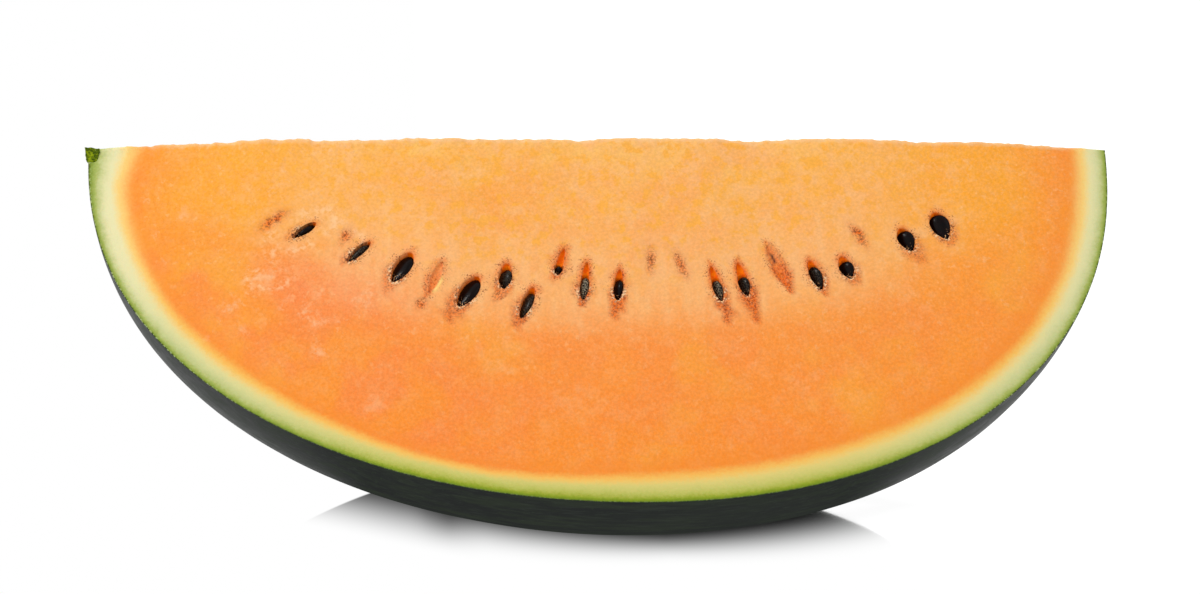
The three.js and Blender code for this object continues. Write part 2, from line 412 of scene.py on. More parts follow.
def base_mesh():
    """The plain wedge: its points, and its faces with 0 for the front, 1 for the rind and 2 for the back."""
    turn = np.pi * np.arange(1, STATIONS) / STATIONS
    x = (-HALF_LENGTH * np.cos(turn))[:, None]
    down = (np.arange(FACE_STEPS) / FACE_STEPS)[None, :]
    up = (np.arange(FACE_STEPS, 0, -1) / FACE_STEPS)[None, :]
    angle = HALF_ANGLE * (2 * np.arange(RIND_STEPS) / RIND_STEPS - 1)[None, :]
    r = radius_at(x)
    front = face_point(-1, x + 0 * down, down)
    rind = np.stack([x + 0 * angle, r * np.sin(angle), AXIS_HEIGHT - r * np.cos(angle)], -1)
    back = face_point(1, x + 0 * up, up)
    points, faces = closed_rings([front, rind, back], -HALF_LENGTH, HALF_LENGTH)
    surfaces = np.repeat([0] * FACE_STEPS + [1] * RIND_STEPS + [2] * FACE_STEPS, STATIONS)
    return points, faces, surfaces


def refine(bm, pick):
    """Splits into four each face that pick picks by its surfaces, places along the melon and depths."""
    bm.faces.ensure_lookup_table()
    middles = np.array([f.calc_center_median() for f in bm.faces])
    surfaces = np.array([f.material_index for f in bm.faces])
    chosen = pick(surfaces, middles[:, 0], np.abs(middles[:, 1]) / SIN)
    edges = {e for i in np.flatnonzero(chosen) for e in bm.faces[i].edges}
    bmesh.ops.subdivide_edges(bm, edges=list(edges), cuts=1, use_grid_fill=True, use_single_edge=True)


def near_pockets(margin, everywhere=True):
    """A pick for refine: faces within margin of a pocket or of its outline, and ones along the cut edge."""

    def pick(surfaces, x, depth):
        chosen = (surfaces != 1) & (depth < RIDGE_BAND) & everywhere
        for side, surface in ((-1, 0), (1, 2)):
            for spec, is_open in all_pockets(side):
                low, high = pocket_ends(spec, is_open)
                u, v = across_and_along(side, x, depth, spec)
                half = np.maximum(*pocket_shape(spec, is_open, v))
                near = (v > low - margin) & (v < high + margin)
                near &= np.abs(u) < half + margin if everywhere else np.abs(np.abs(u) - half) < margin
                chosen |= near & (surfaces == surface)
        return chosen

    return pick


def snap_to_pockets(side, x, depth):
    """Draws points that are near a pocket's outline onto it, so that the flesh has a clean edge there."""
    x, depth = x.copy(), depth.copy()
    for spec, is_open in all_pockets(side):
        u, v = across_and_along(side, x, depth, spec)
        half = np.maximum(*pocket_shape(spec, is_open, v))
        slip = np.where((half > 0) & (np.abs(np.abs(u) - half) < SNAP), (half - np.abs(u)) * np.sign(u), 0)
        lean = math.radians(spec["lean"])
        x -= side * slip * math.cos(lean)
        depth -= slip * math.sin(lean)
    return x, depth


def near_marks(marks):
    """A pick for refine: the faces at stains or veins in front."""

    def pick(surfaces, x, depth):
        chosen = np.zeros(len(x), bool)
        for spec in marks:
            u, v = across_and_along(-1, x, depth, spec)
            chosen |= np.hypot(u / (STAIN_WIDTH + spec.get("wide", 0)), v / spec["show"]) < 1
        return chosen & (surfaces == 0)

    return pick


def near_rim(surfaces, x, depth):
    """A pick for refine: the faces along the rim."""
    return (surfaces != 1) & (radius_at(x) - depth < RIM_BAND)


def rim_distance(x, depth):
    """How far places on a cut face are from the rim."""
    t = -np.cos(np.linspace(0, np.pi, 3000))
    rim_x = HALF_LENGTH * t
    rim_depth = radius_at(rim_x)
    tree = kdtree.KDTree(len(t))
    for i, place in enumerate(zip(rim_x, rim_depth)):
        tree.insert((*place, 0), i)
    tree.balance()
    return np.array([tree.find((a, b, 0))[2] for a, b in zip(x, depth)])


def rind_thickness(x, depth):
    """How thick the pale rind is: less before the middle and at the blossom end, more by the stem."""
    t = x / HALF_LENGTH
    thin = 2.7 * bell((t + 0.25) / 0.33) + 1.3 * smooth(t, 0.8, 0.98)
    return 9.1 - thin + 4 * bell(depth / 9) * (x < 0)


# What is painted on the cut faces
MASKS = ("pit", "glow", "chamber", "crust", "zone", "slit", "lip", "dirt", "pale")


class CutFace:
    """Points on one cut face, with the height of the flesh at each and the masks that colour it."""

    def __init__(self, side, x, depth, points):
        self.side, self.x, self.depth, self.points = side, x, depth, points
        self.height = np.zeros(len(x))
        self.masks = {key: np.zeros(len(x)) for key in MASKS}
        self.ragged_u = 0.35 * lumps(points, 1.6, 11) + 0.2 * lumps(points, 0.7, 12)
        self.ragged_v = 0.5 * lumps(points, 1.8, 13)
        for spec, is_open in all_pockets(side):
            self.add_pocket(spec, is_open)
        for spec in STAINS[side]:
            self.add_stain(spec)
        for spec in VEINS[side]:
            self.add_vein(spec)

    def paint(self, key, values):
        """Raises a mask to the values where they are higher."""
        self.masks[key] = np.maximum(self.masks[key], values)

    def seen_from(self, spec):
        """Where the points are as seen from a seed or mark."""
        return across_and_along(self.side, self.x, self.depth, spec)

    def add_pocket(self, spec, is_open):
        """Sinks a pocket into the flesh, with a low lip, and paints what is in it and round it."""
        low, high = pocket_ends(spec, is_open)
        u, v = self.seen_from(spec)
        seed_half, gap_half = pocket_shape(spec, is_open, v)
        across, into, skew = pocket_reach(spec, is_open)
        # The flesh goes down beside the seed to its widest line, which is deeper on one side.
        under = SEED_SUNK * into + POCKET_UNDER - skew * np.clip(u / across, -1, 1)
        in_seed = np.abs(u) < seed_half - 0.1
        in_gap = np.clip(1 - (u / (gap_half + 1e-6)) ** 2, 0, 1)
        gap_depth = (OPEN_DEPTH if is_open else POCKET_DEPTH) * into * np.sqrt(in_gap)
        deep = np.maximum(np.where(in_seed, under, 0), gap_depth)
        self.height = np.minimum(self.height, -deep)
        # The pit mask paints the gap deep orange: painted shade of the hollow, and light glowing through the
        # flesh.
        self.paint("pit", np.maximum(in_seed, OPEN_COLOUR**is_open * smooth(in_gap, 0, 0.6)))
        outside = np.maximum(np.abs(u) - np.maximum(seed_half, gap_half), 0)
        away = np.hypot(outside, np.maximum(np.maximum(low - v, v - high), 0))
        lip = LIP_HEIGHT * bell(away / LIP_REACH)
        self.height = np.where(deep > 0, self.height, self.height + lip)
        self.paint("zone", bell(away / HALO))
        self.add_chamber(spec, u, v, (low, high), across)
        if is_open:
            self.mark_open(spec, u, v, low, gap_half)
        else:
            self.mark_seed(spec, u, v, (low, high), across, away)

    def add_chamber(self, spec, u, v, ends, across):
        """Paints the place that the seed grew in, which shows round it and below its tip."""
        foot, head = ends[0] - spec["tail"], ends[1] + CHAMBER_OVER
        middle, reach = (foot + head) / 2, (head - foot) / 2
        t = (v + self.ragged_v - middle) / reach
        round_off = np.clip(1 - t * t, 0, 1) ** np.where(t < 0, 0.9, 0.7)
        width = (across + CHAMBER_WIDTH) * round_off + 1e-6
        drift = CHAMBER_DRIFT * math.tanh(spec["x"] / 30) * -self.side * (0.5 - 0.5 * t)
        inside = 1 - np.abs(u + self.ragged_u - drift) / width
        # It is fainter far from the melon's middle, on the stem side and above the seed.
        strength = 1 - 0.4 * smooth(abs(spec["x"]), 45, 85) - 0.25 * smooth(-spec["x"], 10, 30)
        strength *= 1 - 0.4 * smooth(v, -0.3 * reach, 0.3 * reach)
        self.paint("chamber", smooth(inside, -0.1, 0.4) * strength)

    def mark_open(self, spec, u, v, low, gap_half):
        """Paints a dark slit or a bright lip in an open pocket that has one."""
        if "slit" in spec:
            start, end = spec["slit"]
            self.paint("slit", bell(u / 0.35) * smooth(v, start, start + 1) * smooth(end - v, 0, 1))
        if "lip" in spec:
            beside = bell((u - gap_half - 0.3) / 0.5)
            self.paint("lip", beside * smooth(2 - v, 0, 3) * smooth(v - low, 0, 2))

    def mark_seed(self, spec, u, v, ends, across, away):
        """Paints the crumbs beside a seed's lower half, and a painted glow of deeper orange round its open
        end.
        """
        show = spec["show"]
        below = smooth(0.2 * show - v, 0, 0.4 * show) * smooth(v - ends[0], -1.5, 0.5)
        self.paint("crust", bell(away / CRUST_REACH) * below)
        up = (v - show / 2 - 0.3) / (0.9 + 0.6 * (ends[1] - show / 2))
        strength = min(1, 0.25 + spec["gap"] / 3)
        self.paint("glow", strength * np.exp(-((u / (0.6 + 0.55 * across)) ** 2) - np.square(up)))

    def add_stain(self, spec):
        """Dents and stains the flesh where the cut just missed a seed."""
        u, v = self.seen_from(spec)
        away = np.hypot((u + self.ragged_u) / 1.4, (v + self.ragged_v) / (0.5 * spec["show"]))
        patchy = 0.5 + 0.5 * smooth(lumps(self.points, 1.5, 14), -0.5, 0.3)
        self.paint("chamber", np.minimum(spec["deep"] * bell(away / 1.1) * patchy, 1))
        self.paint("dirt", spec["deep"] * bell(away / 0.8) * patchy)
        self.paint("zone", bell(away / 2.2))
        self.height -= 0.25 * bell(1.4 * away)

    def add_vein(self, spec):
        """Paints a whitish vein round a place in the flesh."""
        u, v = self.seen_from(spec)
        round_it = np.hypot((u + self.ragged_u) / spec["wide"], (v + self.ragged_v) / (0.5 * spec["show"]))
        patchy = smooth(lumps(self.points, 3.0, 15) + 0.5 * lumps(self.points, 1.1, 16), -0.5, 0.5)
        self.paint("pale", bell((round_it - 1) / 0.28) * patchy)


def fine_wedge(mesh):
    """The plain wedge, with finer faces where small forms need them."""
    points, faces, surfaces = base_mesh()
    mesh.from_pydata(points, [], faces)
    mesh.polygons.foreach_set("material_index", surfaces)
    bm = bmesh.new()
    bm.from_mesh(mesh)
    refine(bm, near_pockets(1.7))
    refine(bm, near_marks(FRONT_STAINS + FRONT_VEINS))
    refine(bm, near_pockets(0.7))
    refine(bm, near_marks(FRONT_STAINS))
    refine(bm, near_pockets(0.5, everywhere=False))
    refine(bm, near_rim)
    bm.verts.ensure_lookup_table()
    return bm


def shape_cuts(co, x, depth, r, sides):
    """Moves the points of the cut faces into shape, and returns the masks painted on them."""
    masks = {key: np.zeros(len(x)) for key in MASKS}
    for side, on in sides:
        x[on], depth[on] = snap_to_pockets(side, x[on], depth[on])
        r[on] = radius_at(x[on])
        place = face_point(side, x[on], np.clip(depth[on] / np.maximum(r[on], 1e-6), 0, 1))
        face = CutFace(side, x[on], depth[on], place)
        for key, values in face.masks.items():
            masks[key][on] = values
        relief = face.height + 0.18 * lumps(place, 24, 1)
        relief = relief + 0.05 * lumps(place, 5, 2) + 0.03 * lumps(place, 1.8, 3)
        fade = smooth(depth[on], 0.5, 3) * smooth(r[on] - depth[on], 0, 3)
        co[on] = place + (relief * fade)[:, None] * np.array([0, side * COS, SIN])
    return masks


def shape_skin(co, x, r, on):
    """Moves the points of the skin into shape, with a soft swell that fades towards the rim."""
    angle = np.arctan2(co[:, 1], AXIS_HEIGHT - co[:, 2])
    swell = 0.25 * lumps(co, 45, 4) + 0.04 * lumps(co * (0.3, 1, 1), 5, 5)
    swell = (swell - 0.2) * smooth(HALF_ANGLE - np.abs(angle), 0, 0.1)
    skin_r = r + swell
    rounded = np.stack([x, skin_r * np.sin(angle), AXIS_HEIGHT - skin_r * np.cos(angle)], -1)
    co[on] = rounded[on]


def place_masks(x, depth, r, cut, skin):
    """Masks that tell how far each point is from the rim, the seeds' ring and the cut edge."""
    gap = np.zeros(len(x))
    inner = cut & ~skin
    gap[inner] = rim_distance(x[inner], depth[inner])
    wider = 1.2 * smooth(gap, 0.2, 0.5) * smooth(-x, 110, 145) * bell(depth / 14)
    return {
        "rind": gap / rind_thickness(x, depth),
        "skin": gap / (1 + wider),
        "ring": np.hypot(x / RING_REACH, depth / RING_DEPTH),
        "share": np.clip(depth / np.maximum(r, 1e-6), 0, 1),
        "edge": np.where(cut, depth, 99),
        "along": x / HALF_LENGTH,
    }


def wedge_mesh():
    """The wedge's finished mesh, with the masks that its material reads."""
    mesh = bpy.data.meshes.new(NODE)
    bm = fine_wedge(mesh)
    touches = [[any(f.material_index == k for f in v.link_faces) for k in range(3)] for v in bm.verts]
    front, skin, back = np.array(touches).T
    co = np.array([v.co for v in bm.verts])
    x = np.clip(co[:, 0], -HALF_LENGTH, HALF_LENGTH)
    r = radius_at(x)
    cut = front | back
    depth = np.abs(co[:, 1]) / SIN
    depth[cut & skin] = r[cut & skin]
    depth[front & back] = 0
    masks = shape_cuts(co, x, depth, r, ((-1, front), (1, back)))
    round_ridge(co, x, depth, front, back)
    shape_skin(co, x, r, skin & ~cut)
    co[:, 2] = np.maximum(co[:, 2], 0)
    co[:, 0] += MIDDLE_X
    for v, place in zip(bm.verts, co * MM):
        v.co = place
    for e in bm.edges:
        e.smooth = len({f.material_index == 1 for f in e.link_faces}) == 1
    for f in bm.faces:
        f.smooth = True
        f.material_index = 1 if f.material_index == 1 else 0
    bm.to_mesh(mesh)
    bm.free()
    add_masks(mesh, masks)
    add_masks(mesh, place_masks(x, depth, r, cut, skin))
    return mesh


def round_ridge(co, x, depth, front, back):
    """Rounds the cut edge and breaks it into crumbs, coarser towards the stem."""
    cut = front | back
    near = cut & (depth < RIDGE_BAND + 2)
    top = AXIS_HEIGHT + edge_rise(x)
    turn = HALF_ANGLE * np.clip(depth / RIDGE_ROUND, 0, 1)
    side = np.where(front & back, 0, np.where(front, -1, 1))
    y = side * RIDGE_ROUND * np.sin(turn)
    z = top - RIDGE_ROUND * math.sqrt(2) + RIDGE_ROUND * np.cos(turn)
    on_arc = cut & (depth < RIDGE_ROUND)
    co[on_arc, 1] = y[on_arc]
    co[on_arc, 2] = z[on_arc]
    fade = 1 - smooth(depth, 0.8, RIDGE_BAND + 1.5)
    ends = smooth(HALF_LENGTH - np.abs(x), 1, 12)
    coarse = 0.5 + 0.5 * smooth(-x, -40, 60)
    crumbs = coarse * (0.34 * lumps(co, 5.5, 21) + 0.3 * lumps(co, 2.4, 22)) + 0.2 * lumps(co, 1.1, 23)
    slip = 0.3 * lumps(co, 2.8, 24)
    co[near, 2] += (crumbs * fade * ends)[near]
    co[near, 1] += (slip * fade * ends)[near]


# Seeds


def seed_points(spec, side, index):
    """One seed as a grid of points from its tip to its round end, in the row frame, with its coordinates."""
    steps, sides = 40, 36
    s = (1 - np.cos(np.linspace(0, np.pi, steps + 1))) / 2
    outline = seed_outline(s)
    thick = outline**0.8
    turn = 2 * np.pi * np.arange(sides) / sides
    across = np.sign(np.cos(turn)) * np.abs(np.cos(turn)) ** 0.9
    out = np.sign(np.sin(turn)) * np.abs(np.sin(turn)) ** 1.15
    u = SEED_WIDTH / 2 * outline[:, None] * across[None, :]
    w = SEED_THICKNESS / 2 * thick[:, None] * out[None, :]
    v = (s[:, None] - 0.5) * spec["show"] * SEED_STRETCH + 0 * u
    local = np.stack([u, v, w], -1).reshape(-1, 3)
    wrinkle = lumps(local * (1, 0.25, 1) + 40 * index, 0.5, 31) * 0.035
    dent = lumps(local + 40 * index, 3, 32) * 0.12
    local[:, 2] += (wrinkle + dent) * np.sign(local[:, 2]) * np.repeat(outline, sides)

    twist = math.radians(spec["twist"])
    _, into = seed_reach(twist)
    x = np.array(spec["x"], float)
    share = depth_of(spec) / radius_at(x)
    place = face_point(side, x, share)
    along = Vector((-side, 0, 0))
    up = Vector(face_point(side, x, 0.0) - face_point(side, x, 1.0)).normalized()
    basis = Matrix((along, up, along.cross(up))).transposed()
    spin = Matrix.Rotation(math.radians(spec["lean"]), 3, "Z") @ Matrix.Rotation(-twist, 3, "Y")
    local_world = np.array(basis @ spin)
    lift = np.array(basis @ Vector((0, 0, -SEED_SUNK * into)))
    world = local @ local_world.T + place + lift + (MIDDLE_X, 0, 0)
    return world, local, steps, sides


def seeds_mesh(name, side):
    """All the seeds on one side as one mesh."""
    points, faces, coords, worn, tips = [], [], [], [], []
    for index, spec in enumerate(SEEDS[side]):
        world, local, steps, sides = seed_points(spec, side, index)
        # The grid's first and last rows are single points.
        kept = slice(sides - 1, len(world) - sides + 1)
        start = len(points)
        points += list(world[kept])
        coords += list((local + 20 * index)[kept])
        worn += [spec["worn"]] * len(world[kept])
        tips += list((0.5 - local[:, 1] / (SEED_STRETCH * spec["show"]))[kept])
        tip, end = start, start + (steps - 1) * sides + 1
        for j in range(sides):
            k = (j + 1) % sides
            faces.append((tip, start + 1 + j, start + 1 + k))
            faces.append((end, end - sides + k, end - sides + j))
            for i in range(steps - 2):
                a = start + 1 + i * sides
                faces.append((a + j, a + sides + j, a + sides + k, a + k))
    mesh = smooth_mesh(name, np.array(points), faces)
    coords = np.array(coords, np.float32)
    mesh.attributes.new("grain", "FLOAT_VECTOR", "POINT").data.foreach_set("vector", coords.ravel())
    add_masks(mesh, {"worn": worn, "tip": tips})
    return mesh


# Stem scar


def scar_mesh():
    """The corky scar: a rough quarter button on the stem end."""
    steps, face_steps, round_steps = 30, 14, 26
    x0, x1 = -HALF_LENGTH - SCAR_PROUD, -HALF_LENGTH + SCAR_ROOT
    middle, half = (x0 + x1) / 2, (x1 - x0) / 2
    turn = np.pi * np.arange(1, steps) / steps
    x = (middle - half * np.cos(turn))[:, None]
    r = SCAR_RADIUS * np.clip(1 - ((x - middle) / half) ** 4, 0, 1) ** 0.5
    down = (np.arange(face_steps) / face_steps)[None, :]
    angle = HALF_ANGLE * (2 * np.arange(round_steps) / round_steps - 1)[None, :]
    front = np.stack([x + 0 * down, -r * down * SIN, AXIS_HEIGHT - r * down * COS], -1)
    front += (0, -SCAR_LIFT * COS, SCAR_LIFT * SIN)
    outer = np.stack([x + 0 * angle, r * np.sin(angle), AXIS_HEIGHT - r * np.cos(angle)], -1)
    rising = 1 - down
    back = np.stack([x + 0 * rising, r * rising * SIN, AXIS_HEIGHT - r * rising * COS], -1)
    back += (0, SCAR_LIFT * COS, SCAR_LIFT * SIN)
    points, faces = closed_rings([front, outer, back], x0, x1)
    centre = np.array([middle, 0, AXIS_HEIGHT - SCAR_RADIUS * 0.5])
    outward = points - centre
    outward /= np.linalg.norm(outward, axis=1)[:, None]
    rough = 0.4 * lumps(points, 2.2, 41) + 0.25 * lumps(points, 1.0, 42) + 0.12 * lumps(points, 0.5, 43)
    out_of_face = np.abs(outward[:, 1]) > np.abs(outward[:, 2])
    points = points + outward * np.where(out_of_face, 0.3 * rough, rough + 0.15)[:, None]
    return smooth_mesh("stem_scar", points + (MIDDLE_X, 0, 0), faces)


# Materials


def seen(r, g, b):
    """The paint that shows as a screen colour of 0 to 255 in the studio's light."""

    def paint(c):
        c /= 255
        linear = c / 12.92 if c <= 0.04045 else ((c + 0.055) / 1.055) ** 2.4
        return max(linear - HAZE, 0.001) / LIGHT

    return (paint(r), paint(g), paint(b), 1)


class Paint:
    """A material's nodes, added and joined one call at a time. colour is its colour so far."""

    def __init__(self, name):
        self.material = bpy.data.materials.new(name)
        self.material.use_nodes = True
        self.tree = self.material.node_tree
        self.shader = self.tree.nodes["Principled BSDF"]
        self.colour = None

    def node(self, kind, inputs, **settings):
        made = self.tree.nodes.new("ShaderNode" + kind)
        for key, value in settings.items():
            setattr(made, key, value)
        for key, value in inputs.items():
            self.put(made.inputs[key], value)
        return made

    def put(self, socket, value):
        if isinstance(value, bpy.types.NodeSocket):
            self.tree.links.new(value, socket)
        else:
            socket.default_value = value

    def set(self, name, value):
        self.put(self.shader.inputs[name], value)

    def place(self):
        return self.node("TexCoord", {}).outputs["Object"]

    def stretched(self, scale):
        return self.node("Mapping", {"Vector": self.place(), "Scale": scale}).outputs["Vector"]

    def mask(self, name):
        return self.node("Attribute", {}, attribute_name=name).outputs["Fac"]

    def noise(self, size, vector=None, detail=3.0, roughness=0.55, distortion=0.0):
        inputs = {"Vector": vector or self.place(), "Scale": 1 / (size * MM), "Detail": detail}
        inputs.update({"Roughness": roughness, "Distortion": distortion})
        return self.node("TexNoise", inputs).outputs["Fac"]

    def math(self, operation, a, b=0.0):
        return self.node("Math", {0: a, 1: b}, operation=operation).outputs[0]

    def plus(self, a, b):
        return self.math("ADD", a, b)

    def minus(self, a, b):
        return self.math("SUBTRACT", a, b)

    def times(self, value, *others):
        for other in others:
            value = self.math("MULTIPLY", value, other)
        return value

    def off(self, value, place):
        return self.math("ABSOLUTE", self.minus(value, place))

    def between(self, value, low, high, to_low=0.0, to_high=1.0):
        inputs = {"Value": value, "From Min": low, "From Max": high, "To Min": to_low, "To Max": to_high}
        return self.node("MapRange", inputs, interpolation_type="SMOOTHSTEP").outputs["Result"]

    def spots(self, size, low, high, to_low=0.0, to_high=1.0, **noise):
        return self.between(self.noise(size, **noise), low, high, to_low, to_high)

    def mix(self, share, a, b, blend="MIX"):
        made = self.node("Mix", {0: share, 6: a, 7: b}, data_type="RGBA", blend_type=blend)
        return made.outputs[2]

    def coat(self, share, r, g, b):
        """Puts a screen colour over the colour so far, as strongly as share says."""
        self.colour = self.mix(share, self.colour, seen(r, g, b))

    def ramp(self, value, stops):
        """Colours by value. Each stop has its place and its screen colour."""
        made = self.node("ValToRGB", {"Fac": value})
        elements = made.color_ramp.elements
        while len(elements) < len(stops):
            elements.new(0.5)
        for element, (at, *screen) in zip(elements, stops):
            element.position = at
            element.color = seen(*screen)
        return made.outputs["Color"]

    def bump(self, height, strength, distance):
        inputs = {"Height": height, "Strength": strength, "Distance": distance * MM}
        self.set("Normal", self.node("Bump", inputs).outputs["Normal"])

    def done(self, roughness, gloss):
        """Gives the shader the colour, and returns the material."""
        self.set("Base Color", self.colour)
        self.set("Roughness", roughness)
        self.set("Specular IOR Level", gloss)
        return self.material


# Screen colours of the flesh from the cut edge to the rim, and of the rind from the skin inwards,
# below and beside the flesh. Each stop has its place, as a share of the way, and its red, green and blue.
FLESH_STOPS = [
    (0.0, 248, 194, 106),
    (0.08, 248, 181, 84),
    (0.17, 248, 172, 77),
    (0.34, 248, 163, 71),
    (0.5, 248, 151, 61),
    (0.62, 249, 145, 54),
    (0.85, 249, 143, 46),
]
RIND_BELOW = [
    (0.0, 38, 50, 24),
    (0.02, 64, 84, 18),
    (0.04, 112, 134, 24),
    (0.09, 130, 150, 32),
    (0.14, 148, 163, 44),
    (0.21, 170, 176, 70),
    (0.3, 186, 188, 90),
    (0.45, 204, 198, 110),
    (0.6, 216, 203, 118),
    (0.8, 230, 207, 122),
]
RIND_BESIDE = [
    (0.0, 40, 52, 28),
    (0.02, 72, 90, 28),
    (0.04, 122, 142, 44),
    (0.09, 150, 166, 76),
    (0.14, 166, 178, 92),
    (0.21, 184, 191, 120),
    (0.3, 195, 200, 136),
    (0.45, 208, 208, 148),
    (0.6, 220, 214, 151),
    (0.8, 234, 214, 144),
]


def flesh_material():
    """Orange flesh with the seeds' marks, and the pale rind outside it."""
    p = Paint("melon_flesh")
    flesh_bands(p)
    flesh_clouds(p)
    flesh_grain(p)
    seed_marks(p)
    # A ragged paler strip along the cut edge: crushed crumbs, and a painted highlight where the rounded edge
    # catches the light from above.
    crumbs = p.noise(1.8, detail=4.0, roughness=0.65)
    edge = p.between(p.plus(p.mask("edge"), p.times(crumbs, 2.4)), 3.2, 1.7)
    p.coat(p.times(edge, 0.6), 246, 200, 148)
    cover_with_rind(p)
    p.set("Subsurface Weight", 0.12)
    p.set("Subsurface Radius", (1.0, 0.4, 0.15))
    p.set("Subsurface Scale", 0.003)
    height = p.plus(p.noise(1.2, detail=4.0, roughness=0.65), p.times(p.noise(0.5), 0.4))
    p.bump(height, 0.35, 0.35)
    return p.done(p.between(crumbs, 0.3, 0.7, 0.5, 0.65), p.between(p.mask("pit"), 0, 1, 0.2, 0.03))


def flesh_bands(p):
    """The flesh's broad colours, from the cut edge to the rim and along the melon."""
    along, ring, share = p.mask("along"), p.mask("ring"), p.mask("share")
    far = p.math("ABSOLUTE", along)
    p.colour = p.ramp(share, FLESH_STOPS)
    p.coat(p.between(far, 0.35, 0.85), 249, 150, 48)
    heart = p.times(p.between(ring, 0.9, 0.4), p.between(p.off(along, 0.15), 0.4, 0.1))
    p.coat(p.times(heart, 0.5), 247, 184, 104)
    p.coat(p.spots(24, 0.5, 0.68, 0.0, 0.5), 247, 168, 58)
    stem_side = p.times(p.between(along, 0.1, -0.5), p.between(ring, 1.0, 1.5))
    reddish = p.times(p.spots(17, 0.42, 0.62, detail=4.0), p.between(stem_side, 0, 1, 0.25, 0.6))
    p.coat(reddish, 248, 132, 66)
    red_spot = p.times(
        p.between(p.off(along, RED_ALONG), 0.24, 0.04),
        p.between(p.off(share, RED_SHARE), 0.2, 0.04),
        p.spots(8, 0.3, 0.6, 0.5, 0.9),
    )
    p.coat(red_spot, 248, 130, 72)
    golden = p.times(p.between(far, 0.3, 0.6), p.between(share, 0.5, 0.25, 0.0, 0.6))
    p.coat(p.times(golden, p.between(far, 0.92, 0.78)), 250, 172, 44)


def flesh_clouds(p):
    """Pale patches, streaks that run from the heart to the rind along the seeds, and whitish clouds."""
    along, ring, share = p.mask("along"), p.mask("ring"), p.mask("share")
    far = p.math("ABSOLUTE", along)
    patches = p.times(
        p.spots(5, 0.47, 0.66, detail=5.0, roughness=0.65),
        p.between(share, 0.3, 0.6, 0.5, 0.16),
        p.between(far, 0.5, 0.8, 1.0, 0.4),
    )
    p.coat(patches, 247, 184, 124)
    streaks = p.times(
        p.between(ring, 0.45, 0.85),
        p.between(ring, 1.35, 1.05),
        p.between(far, 0.68, 0.45),
        p.spots(5, 0.35, 0.72, 0.35, 0.8, vector=p.stretched((1, 0.22, 0.22))),
    )
    p.coat(streaks, 248, 186, 122)
    # Most of the clouds are towards the stem end.
    stem_end = p.times(p.between(along, -0.36, -0.5), p.between(along, -0.92, -0.74))
    near_seeds = p.times(p.between(ring, 0.3, 0.7), p.between(ring, 2.0, 1.6))
    clouds = p.times(
        p.spots(9, 0.53, 0.66, detail=6.0, roughness=0.68, distortion=0.25),
        p.spots(15, 0.45, 0.6),
        p.times(near_seeds, p.between(stem_end, 0, 1, 0.15, 0.6)),
    )
    p.coat(clouds, 250, 198, 150)


def flesh_grain(p):
    """Light flecks, cells, gold spots and fine grain."""
    ring = p.mask("ring")
    flecks = p.spots(2.0, 0.56, 0.7, 0.0, 0.4, detail=4.0, roughness=0.65)
    p.coat(p.times(flecks, p.between(ring, 1.7, 1.2, 0.4, 1.0)), 248, 192, 132)
    cells = p.spots(1.1, 0.38, 0.62, 0.0, 0.24, roughness=0.65)
    p.coat(p.times(cells, p.between(ring, 1.4, 0.9, 0.5, 1.0)), 249, 186, 122)
    gold = p.spots(3.5, 0.5, 0.62, detail=4.0, roughness=0.6)
    p.coat(p.times(gold, p.between(ring, 1.1, 0.7), 0.7), 249, 172, 58)
    grain = p.spots(0.8, 0.3, 0.7, 0.93, 1.06, roughness=0.6)
    grey = p.node("CombineColor", {0: grain, 1: grain, 2: grain}).outputs[0]
    p.colour = p.mix(1.0, p.colour, grey, "MULTIPLY")


def seed_marks(p):
    """Seeds' marks: halos, veins, deep orange chambers, crumbs, specks, and painted shade and glow in the
    gaps.
    """
    zone, crust, chamber = p.mask("zone"), p.mask("crust"), p.mask("chamber")
    p.coat(p.times(zone, p.spots(4, 0.3, 0.65, 0.1, 0.6, detail=4.0)), 245, 184, 122)
    p.coat(p.times(p.mask("pale"), p.spots(1.6, 0.4, 0.6, detail=4.0), 0.65), 250, 204, 156)
    # Fine dots break up the chambers and the glow round open ends.
    dots = p.spots(0.7, 0.4, 0.6)
    stained = p.mix(p.spots(0.6, 0.42, 0.58, detail=2.0), seen(240, 112, 12), seen(178, 78, 16))
    p.colour = p.mix(p.times(chamber, p.between(dots, 0, 1, 0.75, 1.0)), p.colour, stained)
    # Painted glow: deeper orange round the pockets' open ends, as light shining through the flesh.
    p.coat(p.times(p.mask("glow"), p.between(dots, 0, 1, 0.7, 1.0)), 240, 106, 24)
    around = p.math("MAXIMUM", p.between(zone, 0.6, 0.95), chamber)
    specks = p.times(p.spots(0.5, 0.57, 0.64, detail=2.0), p.times(around, p.spots(4, 0.35, 0.55)))
    p.coat(p.times(specks, 0.9), 138, 66, 12)
    p.coat(p.times(p.mask("dirt"), p.spots(0.6, 0.5, 0.57, detail=2.0), 0.85), 126, 70, 20)
    # Cream and brown crumbs
    cream = p.times(p.between(crust, 0.05, 0.6), p.spots(0.7, 0.47, 0.54, detail=2.0))
    p.coat(p.times(cream, p.spots(3, 0.4, 0.55, detail=2.0), 0.8), 252, 214, 164)
    brown = p.spots(0.55, 0.51, 0.57, vector=p.stretched((1, 1, 0.9)), detail=2.0)
    p.coat(p.times(crust, brown), 88, 46, 16)
    # In the pockets, deep orange painted as the shade of the hollow and light glowing through the flesh
    inner = p.mix(p.spots(1.5, 0.35, 0.65), seen(253, 124, 6), seen(247, 100, 2))
    p.colour = p.mix(p.mask("pit"), p.colour, inner)
    p.coat(p.mask("lip"), 253, 212, 126)
    p.coat(p.mask("slit"), 52, 34, 38)


